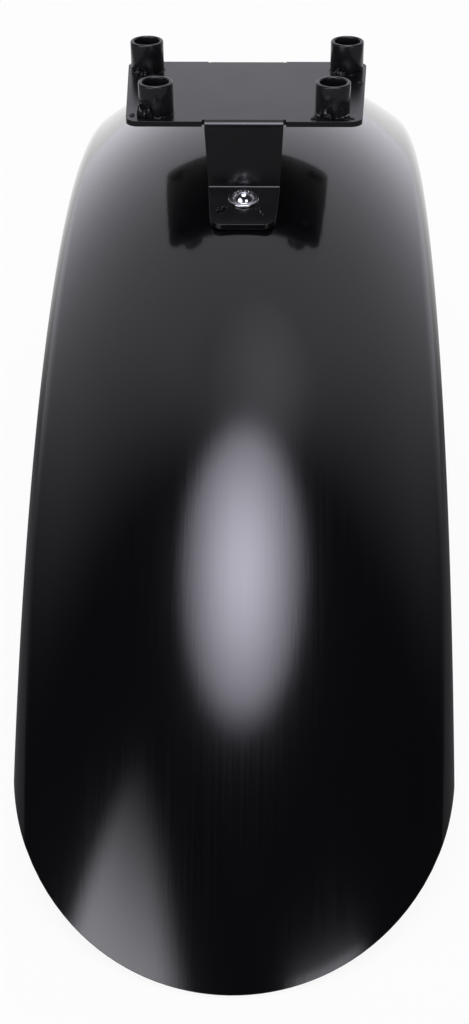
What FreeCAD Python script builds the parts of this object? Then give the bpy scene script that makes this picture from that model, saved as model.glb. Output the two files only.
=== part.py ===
import FreeCAD, Part
import math
import os

import Sketcher

# Front fender for a motorcycle: an arched sheet blade, a folded bracket on its crown
# and four standoff tubes that bolt up under the fork clamp.
#
# Frame: +Z up, -Y to the front of the machine, X across it. The origin is on the top plane
# of the tubes, midway between the front pair. Lengths are in mm, angles in degrees.

doc = FreeCAD.newDocument("front_fender")
sheet = doc.addObject("Spreadsheet::Sheet", "sizes")

DRIVING = {
    # blade: an arch about the wheel axis, with a section that rounds off at its shoulders
    "arch_radius": 452.5,        # wheel axis to the outside of the crown
    "arch_set_back": 64.4,       # front tube row to the highest point of the arch
    "blade_width": 178.7,
    "blade_wall": 1.5,
    "crown_radius": 140.0,       # main curve of the section
    "shoulder_radius": 20.0,     # tighter turn-down at each side
    "edge_angle": 68.75,         # how far the section has turned down at its edges
    "front_round_angle": 45.5,   # top of the arch to the centre of the front end's round
    "rear_round_angle": 22.5,    # top of the arch to the centre of the rear end's round
    "end_margin": 0.5,           # end round beyond half the blade's width
    # bracket: plate, folded tabs and feet, all of one sheet
    "plate_wall": 2.5,
    "front_side_land": 3.95,     # weld bead of a front tube to the side of the plate
    "rear_side_land": 0.85,      # the same at the rear
    "row_land": 2.65,            # weld beads of a row to the plate's front or rear edge
    "plate_corner": 6.0,
    "crown_gap": 24.6,           # underside of the plate to the top of the crown
    "bend_radius": 0.8,          # inside of every fold
    "front_tab_proud": 0.8,      # outside of the front web beyond the plate's edge
    "rear_tab_proud": 2.2,       # outside of the rear web beyond the plate's edge
    "relief_gap": 1.2,           # notch in the plate's edge beside the tab's fold
    "tab_width": 36.0,           # at the plate
    "web_taper_in": 1.5,         # each side of the web draws in by this down to the foot
    "foot_taper_in": 2.0,        # each side of the foot draws in by this to its free end
    "tab_corner": 6.0,
    "flange_clearance": 1.8,     # screw's flange to the foot's inside fold
    "toe_reach": 20.0,           # screw to the foot's free end
    # standoff tubes, in two rows of two
    "tube_width": 16.0,
    "tube_wall": 1.8,
    "tube_height": 14.5,
    "tube_rim": 0.5,             # bevel outside the open end
    "front_tube_pitch": 81.0,
    "rear_tube_pitch": 97.0,
    "tube_row_pitch": 58.1,
    "weld_leg": 1.3,
    # screws, washers and nuts
    "shank_width": 6.0,
    "shank_end": 2.0,            # shank past the nut
    "hole_clearance": 0.3,       # shank to the holes in the sheets, all round
    "flange_width": 14.2,
    "flange_edge": 0.7,          # upright rim of the flange
    "flange_wall": 1.4,          # flange where it meets the dome
    "flange_ledge": 2.4,         # flange outside the dome
    "dome_height": 3.5,
    "recess_span": 6.2,
    "recess_arm": 1.3,
    "recess_depth": 1.9,
    "washer_width": 12.0,
    "washer_clearance": 0.2,     # shank to the washer, all round
    "washer_wall": 1.6,
    "nut_flats": 10.0,
    "nut_height": 5.0,
    "nut_clearance": 0.05,       # shank to the nut, all round
    # a flat piece stands this far off a curved one that it is clamped or welded to
    "seat_gap": 0.05,
}

# What the other sizes give. Heights are in the frame above; the blade's section is measured
# from the wheel axis.
DERIVED = {
    "screw_hole": "shank_width + 2 * hole_clearance",
    "washer_bore": "shank_width + 2 * washer_clearance",
    "nut_bore": "shank_width + 2 * nut_clearance",
    "dome_width": "flange_width - 2 * flange_ledge",
    "tube_bore": "tube_width - 2 * tube_wall",
    "weld_width": "tube_width + 2 * seat_gap + 2 * weld_leg",
    "plate_front_width": "front_tube_pitch + weld_width + 2 * front_side_land",
    "plate_rear_width": "rear_tube_pitch + weld_width + 2 * rear_side_land",
    "row_edge": "weld_width / 2 + row_land",
    "tab_fold_width": "tab_width - 2 * web_taper_in",
    "tab_toe_width": "tab_fold_width - 2 * foot_taper_in",
    "screw_reach": "bend_radius + flange_clearance + flange_width / 2",
    "plate_top": "-tube_height",
    "plate_under": "plate_top - plate_wall",
    "axis_height": "plate_under - crown_gap - arch_radius",
    "end_radius": "blade_width / 2 + end_margin",
    "front_sweep": "front_round_angle + asin(1.3 * end_radius / arch_radius) / 1deg",
    "rear_sweep": "rear_round_angle + asin(1.3 * end_radius / arch_radius) / 1deg",
    "shoulder_x": "blade_width / 2 - shoulder_radius * sin(edge_angle)",
    "joint_angle": "asin(shoulder_x / (crown_radius - shoulder_radius)) / 1deg",
    "crown_centre": "arch_radius - crown_radius",
    "shoulder_height": "crown_centre + (crown_radius - shoulder_radius) * cos(joint_angle)",
    "fold_outside": "bend_radius + plate_wall",
    "front_web": "-row_edge - front_tab_proud",
    "rear_web": "tube_row_pitch + row_edge + rear_tab_proud",
    "notch_width": "tab_width + 2 * relief_gap",
    "front_seat": "front_web - screw_reach",
    "rear_seat": "rear_web + screw_reach",
    "front_lean": "asin((arch_set_back - front_seat) / arch_radius) / 1deg",
    "rear_lean": "asin((rear_seat - arch_set_back) / arch_radius) / 1deg",
    "foot_under": "arch_radius + seat_gap",
    "foot_top": "foot_under + plate_wall",
    "washer_sag": "washer_width * washer_width / 8 / (crown_radius - blade_wall - washer_wall)",
    "washer_top": "arch_radius - blade_wall - washer_sag - seat_gap",
    "washer_under": "washer_top - washer_wall",
    "nut_under": "washer_under - nut_height",
    "shank_length": "foot_top - nut_under + shank_end",
    "head_height": "flange_wall + dome_height",
    "dome_radius": "(dome_width * dome_width / 4 + dome_height * dome_height) / (2 * dome_height)",
}

row = 0
for alias, number in DRIVING.items():
    row += 1
    sheet.set("A" + str(row), alias)
    sheet.set("B" + str(row), str(number))
    sheet.setAlias("B" + str(row), alias)
for alias, formula in DERIVED.items():
    row += 1
    sheet.set("A" + str(row), alias)
    sheet.set("B" + str(row), "=" + formula)
    sheet.setAlias("B" + str(row), alias)
doc.recompute()

ALIASES = sorted(list(DRIVING) + list(DERIVED), key=len, reverse=True)
finished = []


def bound(formula):
    """A formula in the sheet's words, written so that any object can be bound to it."""
    words = []
    word = ""
    for letter in formula + " ":
        if letter.isalnum() or letter == "_":
            word += letter
        else:
            words.append("sizes." + word if word in ALIASES else word)
            words.append(letter)
            word = ""
    return "".join(words).strip()


def number_of(formula):
    """What a formula in the sheet's words comes to now."""
    result = sheet.evalExpression(bound(formula))
    return float(getattr(result, "Value", result))


def new_body(label):
    body = doc.addObject("PartDesign::Body", label)
    body.Label = label
    finished.append(body)
    return body


def place(body, x="0", y="0", z="0", lean=None, backwards=False):
    """Puts a body at a point, leaning to the front or backwards by an angle about X."""
    axis = FreeCAD.Vector(-1 if backwards else 1, 0, 0)
    point = FreeCAD.Vector(number_of(x), number_of(y), number_of(z))
    angle = number_of(lean) if lean else 0.0
    body.Placement = FreeCAD.Placement(point, FreeCAD.Rotation(axis, angle))
    body.setExpression("Placement.Base.x", bound(x))
    body.setExpression("Placement.Base.y", bound(y))
    body.setExpression("Placement.Base.z", bound(z))
    if lean:
        body.setExpression("Placement.Rotation.Angle", bound(lean))


def new_sketch(body, name, plane, height=None, lean=None, backwards=False):
    """A sketch on one of the body's own planes, raised off it or leaning about X."""
    sketch = body.newObject("Sketcher::SketchObject", name)
    for feature in body.Origin.OriginFeatures:
        if feature.Role == plane:
            sketch.AttachmentSupport = [(feature, "")]
    sketch.MapMode = "FlatFace"
    axis = FreeCAD.Vector(-1 if backwards else 1, 0, 0)
    up = number_of(height) if height else 0.0
    angle = number_of(lean) if lean else 0.0
    turn = FreeCAD.Rotation(axis, angle)
    sketch.AttachmentOffset = FreeCAD.Placement(FreeCAD.Vector(0, 0, up), turn)
    if height:
        sketch.setExpression("AttachmentOffset.Base.z", bound(height))
    if lean:
        sketch.setExpression("AttachmentOffset.Rotation.Angle", bound(lean))
    doc.recompute()
    return sketch


def hold(sketch, kind, first, second, formula):
    """One distance between two points of a sketch, bound to a formula of either sign."""
    size = number_of(formula)
    if size < 0:
        first, second = second, first
        formula = "-(" + formula + ")"
    index = sketch.addConstraint(Sketcher.Constraint(kind, *first, *second, abs(size)))
    sketch.setExpression("Constraints[" + str(index) + "]", bound(formula))


def pin(sketch, geometry, end, x, y):
    """Holds one point of a sketch at (x, y), each a formula in the sheet's words."""
    origin = (-1, 1)
    if x == "0":
        sketch.addConstraint(Sketcher.Constraint("PointOnObject", geometry, end, -2))
    elif x is not None:
        hold(sketch, "DistanceX", origin, (geometry, end), x)
    if y == "0":
        sketch.addConstraint(Sketcher.Constraint("PointOnObject", geometry, end, -1))
    elif y is not None:
        hold(sketch, "DistanceY", origin, (geometry, end), y)


def join(sketch, first, second):
    sketch.addConstraint(Sketcher.Constraint("Coincident", *first, *second))


def at(x, y):
    return FreeCAD.Vector(number_of(x), number_of(y), 0)


def draw_polygon(sketch, corners):
    """A closed run of straight lines with every corner pinned."""
    lines = []
    for index, corner in enumerate(corners):
        following = corners[(index + 1) % len(corners)]
        lines.append(sketch.addGeometry(Part.LineSegment(at(*corner), at(*following))))
    for index, line in enumerate(lines):
        join(sketch, (line, 2), (lines[(index + 1) % len(lines)], 1))
    for line, corner in zip(lines, corners):
        pin(sketch, line, 1, *corner)


def draw_circle(sketch, diameter, x="0", y="0"):
    radius = number_of(diameter) / 2
    circle = sketch.addGeometry(Part.Circle(at(x, y), FreeCAD.Vector(0, 0, 1), radius))
    pin(sketch, circle, 3, x, y)
    index = sketch.addConstraint(Sketcher.Constraint("Diameter", circle, 2 * radius))
    sketch.setExpression("Constraints[" + str(index) + "]", bound(diameter))


def draw_arc(sketch, centre, start, end):
    """An arc that turns anticlockwise from start to end about a centre."""
    middle = at(*centre)
    first = at(*start) - middle
    last = at(*end) - middle
    circle = Part.Circle(middle, FreeCAD.Vector(0, 0, 1), first.Length)
    angles = math.atan2(first.y, first.x), math.atan2(last.y, last.x)
    arc = sketch.addGeometry(Part.ArcOfCircle(circle, *angles))
    pin(sketch, arc, 3, *centre)
    return arc


def pad(body, sketch, length, downward=False, both_ways=False):
    feature = body.newObject("PartDesign::Pad", sketch.Name + "_pad")
    feature.Profile = sketch
    feature.Length = number_of(length)
    feature.setExpression("Length", bound(length))
    feature.Reversed = downward
    if both_ways:
        feature.Midplane = True
    doc.recompute()
    return feature


def revolve(body, sketch, axis, angle=None, angle_back=None):
    feature = body.newObject("PartDesign::Revolution", sketch.Name + "_turned")
    feature.Profile = sketch
    feature.ReferenceAxis = (sketch, [axis])
    feature.Angle = 360.0
    if angle:
        feature.Type = "TwoAngles"
        feature.Angle = number_of(angle)
        feature.setExpression("Angle", bound(angle))
        feature.Angle2 = number_of(angle_back)
        feature.setExpression("Angle2", bound(angle_back))
    doc.recompute()
    return feature


def pocket(body, sketch, depth=None, upward=False, both_ways=False):
    """Cuts a sketch out of a body, right through it or to a depth, and makes sure it cut."""
    before = body.Shape.Volume
    feature = body.newObject("PartDesign::Pocket", sketch.Name + "_cut")
    feature.Profile = sketch
    if depth:
        feature.Length = number_of(depth)
        feature.setExpression("Length", bound(depth))
    else:
        feature.Type = "ThroughAll"
    feature.Reversed = upward
    if both_ways:
        feature.Midplane = True
    doc.recompute()
    if body.Shape.Volume >= before:
        raise RuntimeError(sketch.Name + " cut nothing")
    return feature


def dress_edges(body, base, kind, name, size, wanted):
    """Rounds or bevels the edges of a feature whose middle and direction a test picks."""
    names = []
    for index, edge in enumerate(base.Shape.Edges):
        span = edge.lastVertex().Point - edge.firstVertex().Point
        middle = edge.valueAt((edge.FirstParameter + edge.LastParameter) / 2)
        if wanted(middle, span):
            names.append("Edge" + str(index + 1))
    feature = body.newObject("PartDesign::" + kind, name)
    feature.Base = (base, names)
    measure = {"Fillet": "Radius", "Chamfer": "Size"}[kind]
    setattr(feature, measure, number_of(size))
    feature.setExpression(measure, bound(size))
    doc.recompute()
    return feature


def round_edges(body, base, name, radius, wanted):
    return dress_edges(body, base, "Fillet", name, radius, wanted)


NEAR = 0.01


def close(first, formula):
    return abs(first - number_of(formula)) < NEAR


# The blade: its section is three tangent arcs and their offsets, turned about the wheel axis.
blade = new_body("fender_blade")
section = new_sketch(blade, "blade_section", "XZ_Plane")
crown_point = ("{side}(crown_radius - {inset}) * sin(joint_angle)",
               "crown_centre + (crown_radius - {inset}) * cos(joint_angle)")
edge_point = ("{side}(shoulder_x + (shoulder_radius - {inset}) * sin(edge_angle))",
              "shoulder_height + (shoulder_radius - {inset}) * cos(edge_angle)")


def section_point(point, side, inset):
    return tuple(formula.format(side=side, inset=inset) for formula in point)


shells = []
for inset in ("0", "blade_wall"):
    right_joint = section_point(crown_point, "", inset)
    left_joint = section_point(crown_point, "-", inset)
    right_edge = section_point(edge_point, "", inset)
    left_edge = section_point(edge_point, "-", inset)
    crown = draw_arc(section, ("0", "crown_centre"), right_joint, left_joint)
    pin(section, crown, 1, *right_joint)
    pin(section, crown, 2, left_joint[0], None)
    right = draw_arc(section, ("shoulder_x", "shoulder_height"), right_edge, right_joint)
    join(section, (right, 2), (crown, 1))
    pin(section, right, 1, right_edge[0], None)
    left = draw_arc(section, ("-shoulder_x", "shoulder_height"), left_joint, left_edge)
    join(section, (left, 1), (crown, 2))
    pin(section, left, 2, left_edge[0], None)
    shells.append({"right": (right, 1), "left": (left, 2),
                   "right_at": right_edge, "left_at": left_edge})
outer, inner = shells
for side in ("right", "left"):
    ends = at(*outer[side + "_at"]), at(*inner[side + "_at"])
    rim = section.addGeometry(Part.LineSegment(*ends))
    join(section, (rim, 1), outer[side])
    join(section, (rim, 2), inner[side])
revolve(blade, section, "H_Axis", "front_sweep", "rear_sweep")

# Each end of the blade is cut to a full round, square to the sheet where the round starts.
for name, lean, backwards, ahead in (("front_end", "front_round_angle", False, "-"),
                                     ("rear_end", "rear_round_angle", True, "")):
    waste = new_sketch(blade, name, "XY_Plane", lean=lean, backwards=backwards)
    right_point = ("end_radius", "0")
    left_point = ("-end_radius", "0")
    start, end = (right_point, left_point) if backwards else (left_point, right_point)
    arc = draw_arc(waste, ("0", "0"), start, end)
    pin(waste, arc, 1, *start)
    pin(waste, arc, 2, None, "0")
    corners = [right_point, ("2 * end_radius", "0"), ("2 * end_radius", ahead + "2 * end_radius"),
               ("-2 * end_radius", ahead + "2 * end_radius"), ("-2 * end_radius", "0"), left_point]
    lines = []
    for start, end in zip(corners, corners[1:]):
        lines.append(waste.addGeometry(Part.LineSegment(at(*start), at(*end))))
    for line, following in zip(lines, lines[1:]):
        join(waste, (line, 2), (following, 1))
    for line, corner in zip(lines[1:], corners[1:]):
        pin(waste, line, 1, *corner)
    join(waste, (lines[0], 1), (arc, 1 if backwards else 2))
    join(waste, (lines[-1], 2), (arc, 2 if backwards else 1))
    pocket(blade, waste, upward=True)

for name, lean, backwards in (("front_blade_hole", "front_lean", False),
                              ("rear_blade_hole", "rear_lean", True)):
    hole = new_sketch(blade, name, "XY_Plane", lean=lean, backwards=backwards)
    draw_circle(hole, "screw_hole")
    pocket(blade, hole, upward=True)
place(blade, y="arch_set_back", z="axis_height")

# The bracket: the side view of the folded strip first, then its tapers, then the wide plate.
bracket = new_body("mount_bracket")
strip = new_sketch(bracket, "folded_strip", "YZ_Plane")


def on_foot(lean, forward, reach, rise):
    """A point of a foot: reach along it from the screw, rise from the wheel axis."""
    across = "({rise}) * sin({lean}) + ({reach}) * cos({lean})"
    height = "axis_height + ({rise}) * cos({lean}) - ({reach}) * sin({lean})"
    way = "arch_set_back - (" if forward else "arch_set_back + ("
    words = {"rise": rise, "reach": reach, "lean": lean}
    return way + across.format(**words) + ")", height.format(**words)


def under_web(lean, forward, y, rise):
    """The height at which a foot's face, rise from the wheel axis, meets an upright at y."""
    away = "(arch_set_back - ({y}))" if forward else "(({y}) - arch_set_back)"
    words = {"rise": rise, "lean": lean, "away": away.format(y=y)}
    return "axis_height + (({rise}) - {away} * sin({lean})) / cos({lean})".format(**words)


front_inside = "front_web + plate_wall"
rear_inside = "rear_web - plate_wall"
draw_polygon(strip, [
    ("front_web", "plate_top"),
    ("front_web", under_web("front_lean", True, "front_web", "foot_top")),
    on_foot("front_lean", True, "toe_reach", "foot_top"),
    on_foot("front_lean", True, "toe_reach", "foot_under"),
    (front_inside, under_web("front_lean", True, front_inside, "foot_under")),
    (front_inside, "plate_under"),
    (rear_inside, "plate_under"),
    (rear_inside, under_web("rear_lean", False, rear_inside, "foot_under")),
    on_foot("rear_lean", False, "toe_reach", "foot_under"),
    on_foot("rear_lean", False, "toe_reach", "foot_top"),
    ("rear_web", under_web("rear_lean", False, "rear_web", "foot_top")),
    ("rear_web", "plate_top"),
])
folded = pad(bracket, strip, "tab_width", both_ways=True)


def across(span):
    return abs(span.x) > NEAR and abs(span.y) < NEAR and abs(span.z) < NEAR


def inside_fold(middle, span):
    at_plate = close(middle.z, "plate_under")
    at_web = close(middle.y, "front_web") or close(middle.y, "rear_web")
    low = middle.z < number_of("plate_under - 2 * bend_radius")
    return across(span) and (at_plate or (at_web and low))


def outside_fold(middle, span):
    at_plate = close(middle.z, "plate_top")
    at_web = close(middle.y, front_inside) or close(middle.y, rear_inside)
    low = middle.z < number_of("plate_under - 2 * bend_radius")
    return across(span) and (at_plate or (at_web and low))


folded = round_edges(bracket, folded, "inside_folds", "bend_radius", inside_fold)
folded = round_edges(bracket, folded, "outside_folds", "fold_outside", outside_fold)

# The webs narrow towards the feet, and the feet towards their free ends.
fold_height = under_web("front_lean", True, "front_web", "foot_top")
toe_height = "axis_height + arch_radius * cos(front_lean) - arch_radius / 4"
web_sides = new_sketch(bracket, "web_taper", "XZ_Plane")
for side in ("", "-"):
    draw_polygon(web_sides, [
        (side + "tab_width / 2", "plate_under - bend_radius"),
        (side + "tab_fold_width / 2", fold_height),
        (side + "tab_fold_width / 2", toe_height),
        (side + "tab_width", toe_height),
        (side + "tab_width", "plate_under - bend_radius"),
    ])
pocket(bracket, web_sides, both_ways=True)

toe_sides = new_sketch(bracket, "toe_taper", "XY_Plane")
for edge, way in (("front_web", "-"), ("rear_web", "+")):
    toe = edge + " " + way + " screw_reach " + way + " 1.2 * toe_reach"
    for side in ("", "-"):
        draw_polygon(toe_sides, [
            (side + "tab_fold_width / 2", edge),
            (side + "tab_toe_width / 2", toe),
            (side + "tab_width", toe),
            (side + "tab_width", edge),
        ])
toe_cut = pocket(bracket, toe_sides, both_ways=True)


def toe_edge(middle, span):
    front = middle.y < number_of("front_seat - toe_reach / 2")
    rear = middle.y > number_of("rear_seat + toe_reach / 2")
    short = span.Length < number_of("plate_wall") * 1.1
    return (front or rear) and short and abs(span.x) < number_of("plate_wall / 4")


round_edges(bracket, toe_cut, "toe_corners", "tab_corner", toe_edge)

# The plate's front and rear edges are notched beside the tabs, back to where each fold starts.
plate = new_sketch(bracket, "plate_outline", "XY_Plane", height="plate_top")
rear_edge = "tube_row_pitch + row_edge"
front_fold = "front_web + fold_outside"
rear_fold = "rear_web - fold_outside"
draw_polygon(plate, [
    ("-plate_front_width / 2", "-row_edge"),
    ("-notch_width / 2", "-row_edge"),
    ("-notch_width / 2", front_fold),
    ("notch_width / 2", front_fold),
    ("notch_width / 2", "-row_edge"),
    ("plate_front_width / 2", "-row_edge"),
    ("plate_rear_width / 2", rear_edge),
    ("notch_width / 2", rear_edge),
    ("notch_width / 2", rear_fold),
    ("-notch_width / 2", rear_fold),
    ("-notch_width / 2", rear_edge),
    ("-plate_rear_width / 2", rear_edge),
])
plate_pad = pad(bracket, plate, "plate_wall", downward=True)


def plate_edge(middle, span):
    upright = abs(span.x) < NEAR and abs(span.y) < NEAR and abs(span.z) > NEAR
    outside = abs(middle.x) > number_of("notch_width / 2") + NEAR
    return upright and outside and middle.z > number_of("plate_under")


round_edges(bracket, plate_pad, "plate_corners", "plate_corner", plate_edge)

bolt_holes = new_sketch(bracket, "bolt_holes", "XY_Plane")
TUBES = {
    "front_left": ("-front_tube_pitch / 2", "0"),
    "front_right": ("front_tube_pitch / 2", "0"),
    "rear_left": ("-rear_tube_pitch / 2", "tube_row_pitch"),
    "rear_right": ("rear_tube_pitch / 2", "tube_row_pitch"),
}
for x, y in TUBES.values():
    draw_circle(bolt_holes, "tube_bore", x, y)
pocket(bracket, bolt_holes)

# The feet's screw holes are square to the blade, so each leans with its own foot.
for name, lean, backwards in (("front_foot_hole", "front_lean", False),
                              ("rear_foot_hole", "rear_lean", True)):
    hole = new_sketch(bracket, name, "XY_Plane", lean=lean, backwards=backwards)
    way = "-" if backwards else "+"
    foot_hole = "arch_set_back * cos(" + lean + ") " + way + " axis_height * sin(" + lean + ")"
    draw_circle(hole, "screw_hole", "0", foot_hole)
    pocket(bracket, hole)

# The standoff tubes stand on the plate, each with a weld bead round its base.
for name, (x, y) in TUBES.items():
    tube = new_body(name + "_tube")
    ring = new_sketch(tube, name + "_ring", "XY_Plane")
    draw_circle(ring, "tube_width")
    draw_circle(ring, "tube_bore")
    wall = pad(tube, ring, "tube_height")
    dress_edges(tube, wall, "Chamfer", name + "_rim", "tube_rim",
                lambda middle, span: (close(middle.z, "tube_height")
                                      and close(math.hypot(middle.x, middle.y), "tube_width / 2")))
    place(tube, x, y, "plate_top")

    weld = new_body(name + "_weld")
    bead = new_sketch(weld, name + "_bead", "XZ_Plane")
    foot = "tube_width / 2 + seat_gap"
    draw_polygon(bead, [
        (foot, "0"),
        (foot + " + weld_leg", "0"),
        (foot, "weld_leg"),
    ])
    revolve(weld, bead, "V_Axis")
    place(weld, x, y, "plate_top")

# One screw, washer and nut through each foot and the blade below it.
FOOT_SCREWS = {"front": ("front_lean", False), "rear": ("rear_lean", True)}


def place_on_radius(body, radius, lean, backwards):
    """Puts a body at a radius from the wheel axis, on the radial line of a foot's screw."""
    away = "arch_set_back " + ("+" if backwards else "-") + " " + radius + " * sin(" + lean + ")"
    up = "axis_height + " + radius + " * cos(" + lean + ")"
    place(body, "0", away, up, lean, backwards)


for name, (lean, backwards) in FOOT_SCREWS.items():
    screw = new_body(name + "_screw")
    half = new_sketch(screw, name + "_screw_half", "XZ_Plane")
    dome_foot = ("dome_width / 2", "flange_wall")
    dome_top = ("0", "head_height")
    dome = draw_arc(half, ("0", "head_height - dome_radius"), dome_foot, dome_top)
    pin(half, dome, 1, *dome_foot)
    pin(half, dome, 2, "0", None)
    corners = [dome_top, ("0", "-shank_length"), ("shank_width / 2", "-shank_length"),
               ("shank_width / 2", "0"), ("flange_width / 2", "0"),
               ("flange_width / 2", "flange_edge"), dome_foot]
    lines = []
    for start, end in zip(corners, corners[1:]):
        lines.append(half.addGeometry(Part.LineSegment(at(*start), at(*end))))
    for line, following in zip(lines, lines[1:]):
        join(half, (line, 2), (following, 1))
    for line, corner in zip(lines[1:], corners[1:]):
        pin(half, line, 1, *corner)
    join(half, (lines[0], 1), (dome, 2))
    join(half, (lines[-1], 2), (dome, 1))
    revolve(screw, half, "V_Axis")
    recess = new_sketch(screw, name + "_screw_recess", "XY_Plane", height="head_height")
    arm = "recess_arm / 2"
    tip = "recess_span / 2"
    draw_polygon(recess, [
        (arm, arm), (arm, tip), ("-" + arm, tip), ("-" + arm, arm), ("-" + tip, arm),
        ("-" + tip, "-" + arm), ("-" + arm, "-" + arm), ("-" + arm, "-" + tip),
        (arm, "-" + tip), (arm, "-" + arm), (tip, "-" + arm), (tip, arm),
    ])
    pocket(screw, recess, "recess_depth")
    place_on_radius(screw, "foot_top", lean, backwards)

    washer = new_body(name + "_washer")
    ring = new_sketch(washer, name + "_washer_ring", "XY_Plane")
    draw_circle(ring, "washer_width")
    draw_circle(ring, "washer_bore")
    pad(washer, ring, "washer_wall")
    place_on_radius(washer, "washer_under", lean, backwards)

    nut = new_body(name + "_nut")
    hexagon = new_sketch(nut, name + "_nut_hexagon", "XY_Plane")
    point = "nut_flats / sqrt(3)"
    flat = "nut_flats / 2"
    draw_polygon(hexagon, [
        (point, "0"), (point + " / 2", flat), ("-" + point + " / 2", flat),
        ("-" + point, "0"), ("-" + point + " / 2", "-" + flat), (point + " / 2", "-" + flat),
    ])
    draw_circle(hexagon, "nut_bore")
    pad(nut, hexagon, "nut_height")
    place_on_radius(nut, "nut_under", lean, backwards)

doc.recompute()
for thing in doc.Objects:
    if "Invalid" in thing.State or "Error" in thing.State:
        raise RuntimeError(thing.Label + " did not build: " + str(thing.State))
for body in finished:
    if body.Shape.isNull() or not body.Shape.isValid() or not body.Shape.Solids:
        raise RuntimeError(body.Label + " has no valid shape")

os.makedirs("parts", exist_ok=True)
for body in finished:
    body.Shape.exportStep(os.path.join("parts", body.Label + ".step"))
    box = body.Shape.BoundBox
    print(body.Label, len(body.Shape.Solids), round(body.Shape.Volume), "mm3",
          [round(value, 1) for value in (box.XMin, box.XMax, box.YMin, box.YMax, box.ZMin, box.ZMax)])
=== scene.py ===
# %% [markdown]
# # A gloss-black front fender
# The object is one arched sheet of steel with a folded bracket screwed to its crown and four
# short tubes welded to the bracket. The solids arrive ready made and to size, in metres, so
# this lesson only dresses them: paint, chrome, weld beads, light and a camera.

# %% Load the solids
import math

import bmesh
import bpy
from mathutils import Matrix, Vector, noise


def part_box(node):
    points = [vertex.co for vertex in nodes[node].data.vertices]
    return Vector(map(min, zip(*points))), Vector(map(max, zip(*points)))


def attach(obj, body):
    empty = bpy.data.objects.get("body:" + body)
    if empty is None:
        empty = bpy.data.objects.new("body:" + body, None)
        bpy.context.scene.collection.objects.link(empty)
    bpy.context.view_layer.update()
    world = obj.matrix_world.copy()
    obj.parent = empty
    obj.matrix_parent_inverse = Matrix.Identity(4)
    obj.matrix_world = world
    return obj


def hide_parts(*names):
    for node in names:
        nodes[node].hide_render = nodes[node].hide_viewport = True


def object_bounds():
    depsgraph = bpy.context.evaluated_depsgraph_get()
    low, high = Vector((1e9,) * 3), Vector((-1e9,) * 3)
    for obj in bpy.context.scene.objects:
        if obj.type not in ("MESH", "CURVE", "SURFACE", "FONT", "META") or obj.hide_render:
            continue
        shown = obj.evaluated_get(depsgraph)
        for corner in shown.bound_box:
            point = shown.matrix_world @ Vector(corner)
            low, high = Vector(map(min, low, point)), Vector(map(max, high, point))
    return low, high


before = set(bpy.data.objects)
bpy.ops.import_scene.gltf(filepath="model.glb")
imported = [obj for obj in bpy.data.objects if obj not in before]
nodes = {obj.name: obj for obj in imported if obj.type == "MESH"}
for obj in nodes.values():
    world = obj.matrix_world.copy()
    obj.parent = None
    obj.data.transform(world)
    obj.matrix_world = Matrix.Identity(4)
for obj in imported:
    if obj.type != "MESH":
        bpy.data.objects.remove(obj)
solid_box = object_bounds()
print("solids:", sorted(nodes))
print("box of the solids:", [[round(value, 4) for value in corner] for corner in solid_box])

# %% [markdown]
# ## The camera
# The picture was taken from in front and above, a little to the right of the middle. A camera
# in Blender looks down its own -Z with +Y up, so three directions, written as the columns of a
# matrix, say how it stands. The turn, the tilt and the lens were worked out from the tubes
# and from the outline of the blade. Angles are in radians here.

# %% Stand the camera
CAMERA_PLACE = Vector((0.01794, -0.7544, 0.26405))
CAMERA_TILT = 0.584
CAMERA_TURN = -0.032
CAMERA_ROLL = -0.009
LENS_MM = 59.91
SENSOR_MM = 36.0

ahead = Vector((math.sin(CAMERA_TURN) * math.cos(CAMERA_TILT),
                math.cos(CAMERA_TURN) * math.cos(CAMERA_TILT),
                -math.sin(CAMERA_TILT)))
level = Vector((math.cos(CAMERA_TURN), -math.sin(CAMERA_TURN), 0.0))
upward = level.cross(ahead)
right = math.cos(CAMERA_ROLL) * level + math.sin(CAMERA_ROLL) * upward
upward = math.cos(CAMERA_ROLL) * upward - math.sin(CAMERA_ROLL) * level

eye = bpy.data.cameras.new("photo_camera")
eye.sensor_fit = "VERTICAL"
eye.sensor_height = SENSOR_MM
eye.lens = LENS_MM
camera = bpy.data.objects.new("photo_camera", eye)
bpy.context.scene.collection.objects.link(camera)
turn = Matrix((right, upward, -ahead)).transposed()
camera.matrix_world = Matrix.Translation(CAMERA_PLACE) @ turn.to_4x4()
bpy.context.scene.camera = camera
bpy.context.scene.view_settings.view_transform = "Standard"
print("camera looks along", [round(value, 3) for value in ahead])

# %% [markdown]
# ## Wiring shader nodes
# Every finish below is a small graph of nodes. A few helpers keep that wiring readable: one adds
# a node and fills its sockets, where a value may also be the output of another node, one does
# arithmetic, one makes a smooth change and one goes from one number to another.

# %% Helpers for shader nodes
def add_node(tree, kind, sockets=None, **settings):
    """A node of a kind, its settings set and its sockets filled with values or with outputs."""
    node = tree.nodes.new(kind)
    for name, value in settings.items():
        setattr(node, name, value)
    for socket, value in (sockets or {}).items():
        if isinstance(value, bpy.types.NodeSocket):
            tree.links.new(value, node.inputs[socket])
        else:
            node.inputs[socket].default_value = value
    return node


def work_out(tree, operation, first, second=0.0, third=0.0):
    """One step of arithmetic on outputs or numbers."""
    node = add_node(tree, "ShaderNodeMath", {0: first, 1: second, 2: third}, operation=operation)
    return node.outputs[0]


def ease(tree, value, low, high, at_low=0.0, at_high=1.0):
    """A smooth change from at_low to at_high while the value goes from low to high."""
    node = add_node(tree, "ShaderNodeMapRange",
                    {"Value": value, "From Min": low, "From Max": high,
                     "To Min": at_low, "To Max": at_high},
                    interpolation_type="SMOOTHSTEP")
    return node.outputs["Result"]


def blend(tree, share, first, second):
    """A number that goes from the first to the second while the share goes from 0 to 1."""
    return add_node(tree, "ShaderNodeMix", {0: share, 2: first, 3: second}).outputs[0]


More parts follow.
